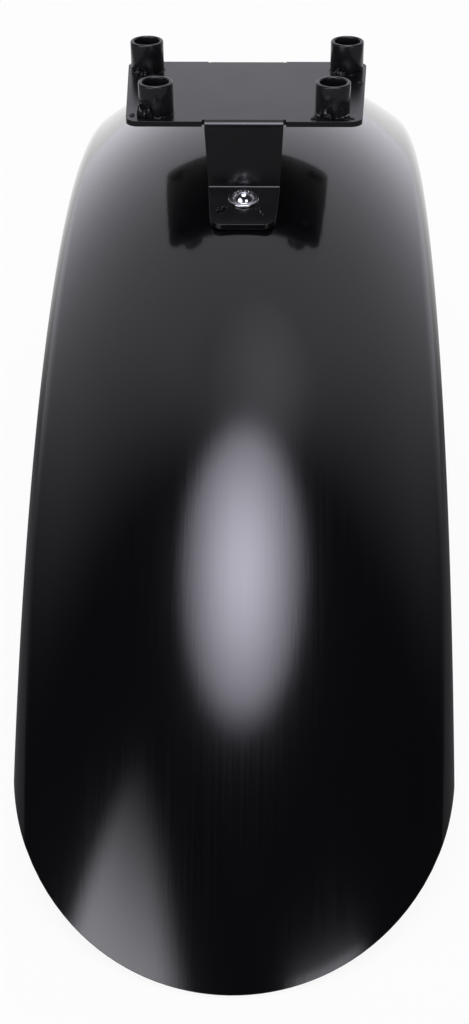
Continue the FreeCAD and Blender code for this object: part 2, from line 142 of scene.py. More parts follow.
# %% [markdown]
# ## The light
# Gloss black shows almost nothing but its surroundings, so the surroundings are the picture.
# Lamps and cards could stand in the room, but each would have to be moved about until its mirror
# image fell in the right place. So they are painted on the world by direction instead, which
# keeps each glow in place on the metal. A direction is given as degrees round from the rear,
# positive to the right, and degrees up.

# %% Directions in the surroundings
world = bpy.data.worlds.new("studio")
bpy.context.scene.world = world
world.use_nodes = True
sky = world.node_tree
sky.nodes.clear()
looking = add_node(sky, "ShaderNodeTexCoord").outputs["Generated"]
STRAIGHT_UP = Vector((0, 0, 1))


def heading(round_from_rear, up):
    """A direction, from its degrees round from the rear and its degrees up."""
    turn_angle = math.radians(round_from_rear)
    rise = math.radians(up)
    return Vector((math.sin(turn_angle) * math.cos(rise),
                   math.cos(turn_angle) * math.cos(rise), math.sin(rise)))


def towards(direction):
    """How near the looking direction is to another one: 1 when they are the same."""
    node = add_node(sky, "ShaderNodeVectorMath", {0: looking, 1: direction},
                    operation="DOT_PRODUCT")
    return node.outputs["Value"]


height = towards(STRAIGHT_UP)
flat = add_node(sky, "ShaderNodeVectorMath", {0: looking, 1: (1, 1, 0)}, operation="MULTIPLY")
flat = add_node(sky, "ShaderNodeVectorMath", {0: flat.outputs[0]}, operation="NORMALIZE")
behind = add_node(sky, "ShaderNodeSeparateXYZ", {0: flat.outputs[0]}).outputs["Y"]
print("height goes from -1 to 1, and behind from -1 in front to 1 at the rear")

# %% [markdown]
# ### The backdrop
# A pale sweep of backdrop stands behind the fender and dims with height. It also fades from the
# rear towards the sides, and that fade is narrow at the horizon and wider overhead, so three
# fades are worked out and mixed by height.

# %% Paint the backdrop
# a level is a height and the brightness there; a fade is where it starts and where it is full
LEVELS = [(0.0, 1.0), (0.10, 0.92), (0.23, 0.75), (0.34, 0.62), (0.45, 0.53), (0.60, 0.44),
          (0.90, 0.40), (0.97, 0.30), (1.0, 0.12)]
RIM_FADE = (0.40, 1.0)
LOW_FADE = (0.30, 0.95)
HIGH_FADE = (-0.2, 0.75)
SIDE_FADE = (-0.1, 0.5)
SIDE_GLOW = 0.10
RIM_TO_LOW = (0.0, 0.20)
LOW_TO_HIGH = (0.15, 0.65)

sweep = add_node(sky, "ShaderNodeValToRGB", {"Fac": height})
stops = sweep.color_ramp.elements
while len(stops) < len(LEVELS):
    stops.new(0.5)
for stop, (place, shade) in zip(stops, LEVELS):
    stop.position = place
    stop.color = (shade, shade, shade, 1)

side_glow = ease(sky, behind, *SIDE_FADE, 0.0, SIDE_GLOW)
rim_facing = work_out(sky, "ADD", ease(sky, behind, *RIM_FADE), side_glow)
low_facing = work_out(sky, "ADD", ease(sky, behind, *LOW_FADE), side_glow)
high_facing = ease(sky, behind, *HIGH_FADE)
facing = blend(sky, ease(sky, height, *RIM_TO_LOW), rim_facing, low_facing)
facing = blend(sky, ease(sky, height, *LOW_TO_HIGH), facing, high_facing)
backdrop_glow = work_out(sky, "MULTIPLY", sweep.outputs["Color"], facing)
print("the backdrop has", len(LEVELS), "levels")

# %% [markdown]
# ### The lamps
# One soft lamp hangs above the front of the blade and makes the oval glow. A much weaker one,
# nearly overhead, makes the faint patch above that oval.

# %% Hang the lamps
# each lamp has a middle, half a width and half a height on a ball of radius 1, and a strength
OVERHEAD_LAMP = (heading(30, 78), 0.357, 0.357, 0.36)
FRONT_LAMP = (heading(175, 72.5), 0.457, 0.53, 6.7)
FIRM_END = 0.79
END_FADE = (1.0, 0.7)


def from_middle(middle, wide, tall):
    """How far out in an oval about a direction one looks: 0 in the middle and 1 at its edge."""
    sideways = middle.cross(STRAIGHT_UP).normalized()
    aside = work_out(sky, "DIVIDE", towards(sideways), wide)
    above = work_out(sky, "DIVIDE", towards(sideways.cross(middle)), tall)
    squares = work_out(sky, "MULTIPLY_ADD", aside, aside, work_out(sky, "MULTIPLY", above, above))
    return work_out(sky, "SQRT", squares)


def soft_lamp(middle, wide, tall, strength):
    """An oval glow that is brightest in its middle and has a firmer end at top and bottom."""
    glow = ease(sky, from_middle(middle, wide, tall), 1.0, 0.0, 0.0, strength)
    ends = ease(sky, from_middle(middle, wide, FIRM_END * tall), *END_FADE)
    return work_out(sky, "MULTIPLY", glow, ends)


overhead_glow = soft_lamp(*OVERHEAD_LAMP)
front_glow = soft_lamp(*FRONT_LAMP)
print("two lamps hung")

# %% [markdown]
# ### The panel and the strip
# A low panel at the left makes the pale cone at the tip: it lies between two lines that meet at
# its top, and it fades upwards. A low strip at the right, just above the floor, makes the thin
# crescent at the other side of the tip.

# %% Stand the panel and the strip
PANEL_TOP = heading(-137, 42)
PANEL_OUTER = heading(-121, 3)
PANEL_INNER = heading(-164, 8)
OUTER_SOFTNESS = 0.06
INNER_SOFTNESS = 0.11
PANEL_FADE = (0.12, 0.65)
PANEL_STRENGTH = 2.9
STRIP_ENDS = (heading(165, 16.9), heading(130, 12.1))
STRIP_SOFTNESS = 0.01
STRIP_MIDDLE = heading(148, 12)
STRIP_WINDOW = (0.961, 0.996)
STRIP_STRENGTH = 2.4
HORIZON = (-0.02, 0.02)


def beside(first, second, soft):
    """Full to the left of the line from one direction up to another, and gone to its right."""
    edge = second.cross(first).normalized()
    return ease(sky, towards(edge), -soft, soft)


panel = work_out(sky, "MULTIPLY", beside(PANEL_OUTER, PANEL_TOP, OUTER_SOFTNESS),
                 beside(PANEL_TOP, PANEL_INNER, INNER_SOFTNESS))
panel = work_out(sky, "MULTIPLY", panel, ease(sky, height, *PANEL_FADE, PANEL_STRENGTH, 0.0))

strip = work_out(sky, "MULTIPLY", beside(*STRIP_ENDS, STRIP_SOFTNESS),
                 ease(sky, height, *HORIZON, 0.0, STRIP_STRENGTH))
strip = work_out(sky, "MULTIPLY", strip, ease(sky, towards(STRIP_MIDDLE), *STRIP_WINDOW))
print("a panel at the left and a strip at the right")

# %% [markdown]
# ### All lights together
# The front lamp is a little cooler than the rest, so it has a tint of its own. Looked at straight
# on, the surroundings are plain white: each ray of light says whether it comes from the camera.

# %% Join the lights
DARK_ROOM = 0.02
ROOM_TINT = (0.93, 0.915, 1.0, 1.0)
LAMP_TINT = (0.88, 0.86, 1.0, 1.0)
WHITE = (1, 1, 1, 1)

total = work_out(sky, "ADD", backdrop_glow, DARK_ROOM)
for glow in (overhead_glow, panel, strip):
    total = work_out(sky, "ADD", total, glow)
room = add_node(sky, "ShaderNodeBackground", {"Color": ROOM_TINT, "Strength": total})
lamp = add_node(sky, "ShaderNodeBackground", {"Color": LAMP_TINT, "Strength": front_glow})
studio = add_node(sky, "ShaderNodeAddShader", {0: room.outputs[0], 1: lamp.outputs[0]})
white = add_node(sky, "ShaderNodeBackground", {"Color": WHITE, "Strength": 1.0})
rays = add_node(sky, "ShaderNodeLightPath").outputs
straight = work_out(sky, "MAXIMUM", rays["Is Camera Ray"], rays["Is Transmission Ray"])
shown = add_node(sky, "ShaderNodeMixShader",
                 {0: straight, 1: studio.outputs[0], 2: white.outputs[0]})
add_node(sky, "ShaderNodeOutputWorld", {"Surface": shown.outputs[0]})
print("surroundings use", len(sky.nodes), "nodes")

# %% [markdown]
# ## The floor
# The fender rests on a wide white floor that also fills the whole background. Seen directly,
# or in a reflection, the floor mostly glows at about white; a small share of it stays
# ordinary white paint, so that the shadow of the blade is still there. In reflections the
# glow is kept to the rear, as on a table that stands among dark curtains.

# %% Lay the floor
FLOOR_RADIUS = 30.0
FLOOR_DROP = 0.0005
floor_height = solid_box[0][2]
bpy.ops.mesh.primitive_circle_add(vertices=96, radius=FLOOR_RADIUS, fill_type="NGON",
                                  location=(0, 0, floor_height - FLOOR_DROP))
floor = bpy.context.object
floor.name = "floor"
print("floor at", round(floor_height, 4))

# %% Paint the floor
GLOWING_SHARE = 0.88
FULL_GLOW = 1.04
DIM_GLOW = 0.07
REAR_FADE = (0.55, 1.05)
CHALK_WHITE = (0.9, 0.9, 0.9, 1)


def place_on(tree):
    """The place on a piece, in metres."""
    return add_node(tree, "ShaderNodeTexCoord").outputs["Object"]


floor_paint = bpy.data.materials.new("floor_white")
floor_paint.use_nodes = True
tree = floor_paint.node_tree
tree.nodes.clear()
rays = add_node(tree, "ShaderNodeLightPath").outputs
seen = work_out(tree, "MAXIMUM", rays["Is Camera Ray"], rays["Is Glossy Ray"])
seen = work_out(tree, "MAXIMUM", seen, rays["Is Transmission Ray"])
share = work_out(tree, "MULTIPLY", seen, GLOWING_SHARE)
bearing = add_node(tree, "ShaderNodeVectorMath", {0: place_on(tree)}, operation="NORMALIZE")
bearing = add_node(tree, "ShaderNodeSeparateXYZ", {0: bearing.outputs[0]}).outputs["Y"]
lit = ease(tree, bearing, *REAR_FADE, DIM_GLOW, 1.0)
lit = work_out(tree, "MAXIMUM", lit, rays["Is Camera Ray"])
lit = work_out(tree, "MULTIPLY", lit, FULL_GLOW)
chalk = add_node(tree, "ShaderNodeBsdfDiffuse", {"Color": CHALK_WHITE})
glow = add_node(tree, "ShaderNodeEmission", {"Color": WHITE, "Strength": lit})
surface = add_node(tree, "ShaderNodeMixShader",
                   {0: share, 1: chalk.outputs[0], 2: glow.outputs[0]})
add_node(tree, "ShaderNodeOutputMaterial", {"Surface": surface.outputs[0]})
floor.data.materials.append(floor_paint)
print("the floor's paint uses", len(tree.nodes), "nodes")

# %% [markdown]
# ## Tools for making pieces
# Most pieces here are turned work or sheet, so a few tools do for all of them: one starts a
# finish, three give it grain, bumps and shades, one makes an object that rides with the fender,
# one spins an outline about Z, and one cuts a shape out of a piece for good.

# %% A material to start from
def new_finish(name):
    """A material with a principled shader, its tree, and the shader's node."""
    finish = bpy.data.materials.new(name)
    finish.use_nodes = True
    return finish, finish.node_tree, finish.node_tree.nodes["Principled BSDF"]


def put(tree, node, socket, value):
    """Feeds an output into a socket of a node."""
    tree.links.new(value, node.inputs[socket])


# %% Grain, bumps and shades
def speckle(tree, place, scale, detail, roughness=0.5):
    """A cloudy noise whose spots are about one part in scale of a metre wide."""
    return add_node(tree, "ShaderNodeTexNoise",
                    {"Vector": place, "Scale": scale, "Detail": detail,
                     "Roughness": roughness}).outputs[0]


def bumps(tree, height, strength, depth, under=None):
    """A normal that follows a height, on top of another normal where one is given."""
    sockets = {"Strength": strength, "Distance": depth, "Height": height}
    if under is not None:
        sockets["Normal"] = under
    return add_node(tree, "ShaderNodeBump", sockets).outputs[0]


def between(tree, share, dark, light):
    """A colour that goes from a dark one to a light one as the share goes from 0 to 1."""
    return add_node(tree, "ShaderNodeMix", {0: share, 6: (*dark, 1), 7: (*light, 1)},
                    data_type="RGBA").outputs[2]


# %% Pieces that ride with the fender
def add_piece(name, mesh, finish, replaced=None):
    """A piece of the fender, in its finish, that stands for a solid where one is named."""
    piece = bpy.data.objects.new(name, mesh)
    bpy.context.scene.collection.objects.link(piece)
    mesh.materials.append(finish)
    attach(piece, "root")
    if replaced:
        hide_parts(replaced)
    return piece


# %% Spin and cut
def spun_mesh(name, outline, steps, closed):
    """A mesh turned about Z: outline(angle) gives pairs of radius and height. An open outline
    gets a flat cap at each end."""
    shape = bmesh.new()
    rings = []
    for step in range(steps):
        angle = 2 * math.pi * step / steps
        rings.append([shape.verts.new((radius * math.cos(angle), radius * math.sin(angle), rise))
                      for radius, rise in outline(angle)])
    length = len(rings[0])
    for step in range(steps):
        ring, following = rings[step], rings[(step + 1) % steps]
        for index in range(length if closed else length - 1):
            after = (index + 1) % length
            shape.faces.new((ring[index], following[index], following[after], ring[after]))
    if not closed:
        shape.faces.new([ring[0] for ring in rings])
        shape.faces.new([ring[-1] for ring in rings])
    bmesh.ops.recalc_face_normals(shape, faces=shape.faces)
    for face in shape.faces:
        face.smooth = True
    mesh = bpy.data.meshes.new(name)
    shape.to_mesh(mesh)
    shape.free()
    return mesh


def cut_away(piece, cutter):
    """Takes a cutter's shape out of a piece for good."""
    bpy.context.scene.collection.objects.link(cutter)
    cut = piece.modifiers.new("cut", "BOOLEAN")
    cut.object = cutter
    cut.solver = "EXACT"
    bpy.context.view_layer.update()
    ready = piece.evaluated_get(bpy.context.evaluated_depsgraph_get())
    finished = bpy.data.meshes.new_from_object(ready)
    piece.modifiers.clear()
    piece.data = finished
    bpy.data.objects.remove(cutter)
    return finished


# %% [markdown]
# ## Gloss-black paint on rolled sheet
# The blade was rolled and rubbed down along its length before it was painted, and the paint
# lets those fine lines through: they fray the sides of every highlight. A noise that is
# squeezed across the blade and drawn out along it gives such lines. Its coordinates are the
# distance across the blade and the way round the wheel axis, so the lines follow the arch. The
# colour coat has long lines on broad waves; the clear coat over it has short rubs, and a trace
# of the orange peel that sprayed paint dries with.

# %% Unroll the blade
WHEEL_AXIS = (0.0644, -0.4941)
ARCH_RADIUS = 0.4525

gloss_black, tree, paint = new_finish("gloss_black_paint")
spot = add_node(tree, "ShaderNodeSeparateXYZ", {0: place_on(tree)}).outputs
along = work_out(tree, "ARCTAN2", work_out(tree, "SUBTRACT", spot["Y"], WHEEL_AXIS[0]),
                 work_out(tree, "SUBTRACT", spot["Z"], WHEEL_AXIS[1]))
along = work_out(tree, "MULTIPLY", along, ARCH_RADIUS)
unrolled = add_node(tree, "ShaderNodeCombineXYZ", {"X": spot["X"], "Y": along}).outputs[0]
print("the paint's lines run round the wheel axis at", WHEEL_AXIS)


# %% Paint for the blade
def streaks(tree, place, across, lengthwise, detail, roughness=0.5):
    """Noise on the unrolled sheet, with one scale across the blade and another along it."""
    drawn = add_node(tree, "ShaderNodeMapping",
                     {"Vector": place, "Scale": (across, lengthwise, 1)})
    return speckle(tree, drawn.outputs[0], 1.0, detail, roughness)


lines = streaks(tree, unrolled, across=900, lengthwise=9, detail=5.0, roughness=0.62)
waves = streaks(tree, unrolled, across=60, lengthwise=6, detail=2.0)
rubs = streaks(tree, unrolled, across=1000, lengthwise=55, detail=2.0)
peel = speckle(tree, unrolled, scale=700.0, detail=2.0)
round_edge = add_node(tree, "ShaderNodeBevel", {"Radius": 0.0005}, samples=6).outputs[0]
fine = bumps(tree, lines, strength=0.25, depth=0.00002, under=round_edge)
broad = bumps(tree, waves, strength=0.25, depth=0.0001, under=fine)
rubbed = bumps(tree, rubs, strength=0.9, depth=0.00002, under=round_edge)
skin = bumps(tree, peel, strength=0.08, depth=0.00002, under=rubbed)
shade = between(tree, lines, dark=(0.0015, 0.0015, 0.0018), light=(0.003, 0.003, 0.0035))
put(tree, paint, "Base Color", shade)
put(tree, paint, "Roughness", ease(tree, lines, 0.25, 0.75, at_low=0.14, at_high=0.20))
put(tree, paint, "Normal", broad)
put(tree, paint, "Coat Normal", skin)
paint.inputs["IOR"].default_value = 1.5
paint.inputs["Coat Weight"].default_value = 1.0
paint.inputs["Coat Roughness"].default_value = 0.06
paint.inputs["Coat IOR"].default_value = 1.5
print("paint for the blade:", gloss_black.name)

# %% [markdown]
# ## The blade
# The solid of the blade is exact, but its facets are coarse, and a black mirror shows every
# facet as a ripple. So the same sheet is drawn here again with far more faces. Across, it is
# three arcs that meet without a kink: a crown and two shoulders. Each point of that section
# runs round the wheel axis, from the round rear end to the round front end, and the two ends
# are full rounds because the run of a point gets shorter the further out it lies.

# %% The blade's section
BLADE_HALF = 0.08935
BLADE_WALL = 0.0015
CROWN_RADIUS = 0.140
SHOULDER_RADIUS = 0.020
EDGE_TILT = math.radians(68.75)
SHOULDER_X = BLADE_HALF - SHOULDER_RADIUS * math.sin(EDGE_TILT)
JOINT_TILT = math.asin(SHOULDER_X / (CROWN_RADIUS - SHOULDER_RADIUS))
CROWN_STEPS = 44
SHOULDER_STEPS = 16


def section_point(tilt, inset):
    """How far across and how far from the wheel axis the sheet is, where it leans by a tilt."""
    steep = abs(tilt)
    out = ARCH_RADIUS - CROWN_RADIUS
    if steep <= JOINT_TILT:
        across = (CROWN_RADIUS - inset) * math.sin(steep)
        out += (CROWN_RADIUS - inset) * math.cos(steep)
    else:
        across = SHOULDER_X + (SHOULDER_RADIUS - inset) * math.sin(steep)
        out += (CROWN_RADIUS - SHOULDER_RADIUS) * math.cos(JOINT_TILT)
        out += (SHOULDER_RADIUS - inset) * math.cos(steep)
    return math.copysign(across, tilt), out


def even_steps(first, last, count):
    """Evenly spaced values from the first up to, but without, the last."""
    return [first + (last - first) * step / count for step in range(count)]


tilts = even_steps(-EDGE_TILT, -JOINT_TILT, SHOULDER_STEPS)
tilts += even_steps(-JOINT_TILT, JOINT_TILT, CROWN_STEPS)
tilts += even_steps(JOINT_TILT, EDGE_TILT, SHOULDER_STEPS) + [EDGE_TILT]
print("the section has", len(tilts), "points")
print("its crown ends at a tilt of", round(math.degrees(JOINT_TILT), 1), "degrees")

# %% Run the section round the wheel
END_MARGIN = 0.0005
END_RADIUS = BLADE_HALF + END_MARGIN
FRONT_ROUND = math.radians(45.5)
REAR_ROUND = math.radians(22.5)
ROWS = 240


def sheet_face(shape, inset):
    """One face of the sheet as rows of points from the rear end to the front end."""
    rows = []
    for row in range(ROWS + 1):
        points = []
        for tilt in tilts:
            across, out = section_point(tilt, inset)
            spare = math.asin(math.sqrt(END_RADIUS ** 2 - across ** 2) / out)
            rear, front = -REAR_ROUND - spare, FRONT_ROUND + spare
            angle = rear + (front - rear) * row / ROWS
            points.append(shape.verts.new((across, WHEEL_AXIS[0] - out * math.sin(angle),
                                           WHEEL_AXIS[1] + out * math.cos(angle))))
        rows.append(points)
    for row, following in zip(rows, rows[1:]):
        for index in range(len(tilts) - 1):
            shape.faces.new((row[index], row[index + 1], following[index + 1], following[index]))
    return rows


def rim_of(rows):
    """The points round the free edge of a face, in order."""
    right_edge = [row[-1] for row in rows[1:-1]]
    left_edge = [row[0] for row in rows[-2:0:-1]]
    return rows[0] + right_edge + rows[-1][::-1] + left_edge


shape = bmesh.new()
outer_rim = rim_of(sheet_face(shape, 0.0))
inner_rim = rim_of(sheet_face(shape, BLADE_WALL))
for index in range(len(outer_rim)):
    after = (index + 1) % len(outer_rim)
    shape.faces.new((outer_rim[index], outer_rim[after], inner_rim[after], inner_rim[index]))
bmesh.ops.recalc_face_normals(shape, faces=shape.faces)
sheet_mesh = bpy.data.meshes.new("blade_sheet")
shape.to_mesh(sheet_mesh)
shape.free()
print("the blade's rim has", len(outer_rim), "points")

# %% [markdown]
# ### Holes for the screws
# The two screws stand square to the sheet, so each lies along a spoke of the wheel. The same
# stand places the drill here, and later the screws, the washers and the nuts.

# %% Where the screws go through
SEAT_RADIUS = 0.45505
SCREW_AT = {"front": -0.0225, "rear": 0.0820}


def screw_frame(end):
    """Stands a piece's Z along a screw, with its origin under the middle of the brim."""
    lean = math.asin((WHEEL_AXIS[0] - SCREW_AT[end]) / ARCH_RADIUS)
    spoke = Vector((0, -math.sin(lean), math.cos(lean)))
    seat = Vector((0, *WHEEL_AXIS)) + SEAT_RADIUS * spoke
    return Matrix.Translation(seat) @ Matrix.Rotation(lean, 4, "X")


# %% Drill and paint the blade
HOLE_RADIUS = 0.0033
DRILL_ENDS = (-0.012, 0.002)
DRILL_STEPS = 48
SHARP_EDGE = math.radians(38)


def drill_outline(angle):
    """A plain drill, the same all round."""
    return [(HOLE_RADIUS, height) for height in DRILL_ENDS]


blade = add_piece("blade_sheet", sheet_mesh, gloss_black, "fender_blade")
for end in SCREW_AT:
    drill_mesh = spun_mesh("drill", drill_outline, DRILL_STEPS, closed=False)
    drill = bpy.data.objects.new("drill", drill_mesh)
    drill.matrix_world = screw_frame(end)
    cut_away(blade, drill)
blade.data.shade_smooth()
blade.data.set_sharp_from_angle(angle=SHARP_EDGE)
print("blade drawn with", len(blade.data.polygons), "faces")

# %% [markdown]
# ## Satin black on the bracket and the tubes
# The bracket has a duller coat, with the faint grain of baked powder. The tubes get a paler copy
# of the same coat: the lighter grey is a painted sheen that stands for the broad light they catch.
# A thin rounding in the shader's normals stands for the broken edges of cut sheet, which catch a
# fine line of light.

# %% Paint for the bracket and the tubes
BLUER = 1.05


def satin_paint(name, dark, light):
    """A satin black whose shade drifts between two greys, with a fine grain."""
    finish, tree, paint = new_finish(name)
    place = place_on(tree)
    grain = speckle(tree, place, scale=900.0, detail=3.0)
    cloud = speckle(tree, place, scale=45.0, detail=3.0)
    shades = [(grey, grey, BLUER * grey) for grey in (dark, light)]
    round_edge = add_node(tree, "ShaderNodeBevel", {"Radius": 0.0004}, samples=6).outputs[0]
    rough_skin = bumps(tree, grain, strength=0.12, depth=0.00003, under=round_edge)
    put(tree, paint, "Base Color", between(tree, cloud, *shades))
    put(tree, paint, "Roughness", ease(tree, cloud, 0.3, 0.7, at_low=0.20, at_high=0.28))
    put(tree, paint, "Normal", rough_skin)
    paint.inputs["IOR"].default_value = 1.65
    return finish


satin_black = satin_paint("satin_black_paint", dark=0.005, light=0.008)
# the tubes' paler greys are a painted sheen, a lighter copy of the bracket's satin black
tube_black_painted_sheen = satin_paint("tube_painted_sheen_black_paint", dark=0.014, light=0.020)
nodes["mount_bracket"].data.materials.clear()
nodes["mount_bracket"].data.materials.append(satin_black)
print("paints:", satin_black.name, tube_black_painted_sheen.name)

# %% [markdown]
# ## The tubes
# Each tube is a short cut of pipe whose sawn end was rounded over before painting. Spinning one
# closed profile about the tube's axis gives the rounded lips that the plain solid lacks; the
# size is read from the solid's own box.

# %% Spin the tubes
TUBE_WALL = 0.0018
LIP = 0.0007
CORNERS = ("front_left", "front_right", "rear_left", "rear_right")
ROUND_STEPS = 72


def arc_points(centre, wide, tall, first, last, steps):
    """Points of a round or oval arc about a centre, from one angle to another in degrees."""
    points = []
    for step in range(steps + 1):
        angle = math.radians(first + (last - first) * step / steps)
        points.append((centre[0] + wide * math.cos(angle), centre[1] + tall * math.sin(angle)))
    return points


def quarter(centre, radius, start):
    """Points of a quarter round about a centre, from a start angle in degrees."""
    return arc_points(centre, radius, radius, start, start + 90, steps=6)


for corner in CORNERS:
    low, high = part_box(corner + "_tube")
    outside = (high.x - low.x) / 2
    bore = outside - TUBE_WALL
    tall = high.z - low.z
    profile = [(bore, 0.0), (outside, 0.0)]
    profile += quarter((outside - LIP, tall - LIP), LIP, 0)
    profile += quarter((bore + LIP, tall - LIP), LIP, 90)
    pipe = spun_mesh(corner + "_pipe", lambda angle: profile, ROUND_STEPS, closed=True)
    tube = add_piece(corner + "_pipe", pipe, tube_black_painted_sheen, corner + "_tube")
    tube.location = ((low.x + high.x) / 2, (low.y + high.y) / 2, low.z)
print("tubes spun:", len(CORNERS))

# %% [markdown]
# ## The weld beads
# The tubes were tacked on by hand: seen from the front, only a few fat drops hold each one, and
# the paint has run smooth over them. A ring of rounded sections does it. Its size changes with
# the angle round the tube: a hair-thin fillet, plus a smooth bump per drop, which has its own
# reach over the plate and its own climb up the tube. The longer runs lie on the far sides.

# %% Paint for the welds
weld_black, tree, paint = new_finish("weld_black_paint")
drip = speckle(tree, place_on(tree), scale=500.0, detail=3.0)
shade = between(tree, drip, dark=(0.003, 0.003, 0.0033), light=(0.006, 0.006, 0.0065))
put(tree, paint, "Base Color", shade)
put(tree, paint, "Roughness", ease(tree, drip, 0.3, 0.7, at_low=0.08, at_high=0.16))
put(tree, paint, "Normal", bumps(tree, drip, strength=0.15, depth=0.0002))
print("paint for the welds:", weld_black.name)

# %% The shape of a bead
MM = 0.001
DROPS = {
    # degrees round the tube from +X, width in degrees, reach and climb in mm
    "front_left": [(220, 18, 2.2, 6.2), (252, 10, 1.3, 5.4), (286, 12, 1.5, 0.9),
                   (70, 40, 1.2, 1.3)],
    "front_right": [(213, 11, 1.6, 1.2), (246, 11, 1.1, 4.4), (263, 8, 1.6, 1.4),
                    (318, 12, 1.8, 1.2), (110, 40, 1.2, 1.3)],
    "rear_left": [(242, 11, 1.2, 3.0), (266, 9, 1.4, 1.8), (60, 45, 1.2, 1.3)],
    "rear_right": [(238, 11, 1.2, 3.0), (260, 9, 1.4, 1.6), (120, 45, 1.2, 1.3)],
}
FILLET_MM = 0.35
FILLET_RIPPLE = 0.4
DROP_RIPPLE = 0.1
RIPPLES = 9
BITE = 0.0002
BEAD_ROWS = 10
FULLNESS = 0.9


def bead_legs(drops, angle, seed):
    """The bead's reach over the plate and climb up the tube, in metres, at an angle."""
    ripple = noise.noise(Vector((math.cos(angle) * RIPPLES, math.sin(angle) * RIPPLES, seed)))
    reach = climb = FILLET_MM * (1 + FILLET_RIPPLE * ripple)
    for middle, width, far, high in drops:
        apart = (math.degrees(angle) - middle + 180) % 360 - 180
        swell = math.exp(-(apart / width) ** 2) * (1 + DROP_RIPPLE * ripple)
        reach += far * swell
        climb += high * swell
    return reach * MM, climb * MM


def bead_outline(drops, inside, seed):
    """A function of the angle that gives the bead's rounded section against its tube."""
    def section(angle):
        reach, climb = bead_legs(drops, angle, seed)
        points = [(inside, 0.0)]
        for row in range(BEAD_ROWS + 1):
            tilt = math.pi / 2 * row / BEAD_ROWS
            points.append((inside + BITE + reach * math.cos(tilt) ** FULLNESS,
                           climb * math.sin(tilt) ** FULLNESS))
        points.append((inside, climb))
        return points
    return section


# %% Lay the weld beads
BEAD_STEPS = 240
SEED_STEP = 7.3
for number, corner in enumerate(CORNERS):
    low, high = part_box(corner + "_tube")
    inside = (high.x - low.x) / 2 - BITE
    outline = bead_outline(DROPS[corner], inside, number * SEED_STEP)
    bead_mesh = spun_mesh(corner + "_bead", outline, BEAD_STEPS, closed=True)
    bead = add_piece(corner + "_bead", bead_mesh, weld_black, corner + "_weld")
    bead.location = ((low.x + high.x) / 2, (low.y + high.y) / 2, low.z)
print("weld beads laid round", len(CORNERS), "tubes")

# %% [markdown]
# ## Chrome and plain steel
# The screws are bright chrome with hairline scratches; the washers and nuts below the blade are
# plain zinc-plated steel, a little cloudy.

# %% Metals
chrome, tree, metal = new_finish("bright_chrome")
scratch = speckle(tree, place_on(tree), scale=1500.0, detail=4.0)
metal.inputs["Base Color"].default_value = (0.90, 0.91, 0.93, 1)
metal.inputs["Metallic"].default_value = 1.0
put(tree, metal, "Roughness", ease(tree, scratch, 0.3, 0.7, at_low=0.07, at_high=0.16))
put(tree, metal, "Normal", bumps(tree, scratch, strength=0.05, depth=0.00002))

zinc, tree, metal = new_finish("zinc_steel")
cloud = speckle(tree, place_on(tree), scale=400.0, detail=5.0)
shade = between(tree, cloud, dark=(0.48, 0.48, 0.50), light=(0.68, 0.68, 0.70))
metal.inputs["Metallic"].default_value = 1.0
put(tree, metal, "Base Color", shade)
put(tree, metal, "Roughness", ease(tree, cloud, 0.3, 0.7, at_low=0.28, at_high=0.42))
put(tree, metal, "Normal", bumps(tree, cloud, strength=0.15, depth=0.00003))
print("metals:", chrome.name, zinc.name)

# %% [markdown]
# ## The screws
# A bright screw with a wide brim holds each foot to the blade. Its head is turned work, with a
# rounded brim, a hollow and a dome, so a profile is spun about the screw's own axis, which is a
# spoke of the arch. The spun profile may change with the angle, and that gives the free end a
# real thread. The cross in the dome is cut out afterwards with a tapered cross.

# %% How far the screws reach
def reach_along(name, stand):
    """How far a solid reaches along a screw, from the seat: its lowest and highest point."""
    back = stand.inverted()
    heights = [(back @ corner.co).z for corner in nodes[name].data.vertices]
    return min(heights), max(heights)


for end in SCREW_AT:
    ends = reach_along(end + "_screw", screw_frame(end))
    print(end, "screw reaches", [round(value / MM, 2) for value in ends], "mm")

# %% The head's profile
# radius and height in mm, measured from the middle of the brim's underside
SHANK = 3.0
BRIM_MIDDLE = (6.6, 0.6)
BRIM_WIDE = 0.5
BRIM_TALL = 0.6
BRIM_TURN = (-90, 84)
HOLLOW = [Vector((5.7, 1.29)), Vector((5.0, 0.75)), Vector((4.54, 1.86))]
HOLLOW_STEPS = 8
DOME = 4.9
DOME_TURN = (22.3, 89)


def head_points():
    """The head from the brim's underside to the top of the dome."""
    points = [(SHANK, 0.0)]
    points += arc_points(BRIM_MIDDLE, BRIM_WIDE, BRIM_TALL, *BRIM_TURN, steps=14)
    start, bend, finish = HOLLOW
    for step in range(HOLLOW_STEPS + 1):
        share = step / HOLLOW_STEPS
        spot = (1 - share) ** 2 * start + 2 * share * (1 - share) * bend + share ** 2 * finish
        points.append((spot.x, spot.y))
    return points + arc_points((0, 0), DOME, DOME, *DOME_TURN, steps=23)[1:]


print("the head's profile has", len(head_points()), "points")

# %% The thread's profile
PITCH = 1.0
THREADED = 5.0
HALF_DEPTH = 0.27
TIP = 2.35
RUN_OUT = 0.3
STEPS_A_TURN = 8


def screw_outline(end_height):
    """A function of the angle that gives a whole screw, its thread winding round the free end."""
    head = head_points()

    def section(angle):
        points = []
        rows = int(THREADED / (PITCH / STEPS_A_TURN))
        for row in range(rows + 1):
            up = row * PITCH / STEPS_A_TURN
            turns = up / PITCH - angle / (2 * math.pi)
            crest = 1 - 4 * abs(turns - math.floor(turns + 0.5))
            radius = min(SHANK - HALF_DEPTH + HALF_DEPTH * crest, TIP + up)
            points.append((radius, end_height + up))
        points.append((SHANK, end_height + THREADED + RUN_OUT))
        return [(radius * MM, height * MM) for radius, height in points + head]
    return section


# %% Cut the cross and place the screws
# half a span, half an arm's width and a height, all in mm
CROSS_FLOOR = (1.5, 0.45, 2.9)
CROSS_MOUTH = (3.3, 0.72, 5.4)


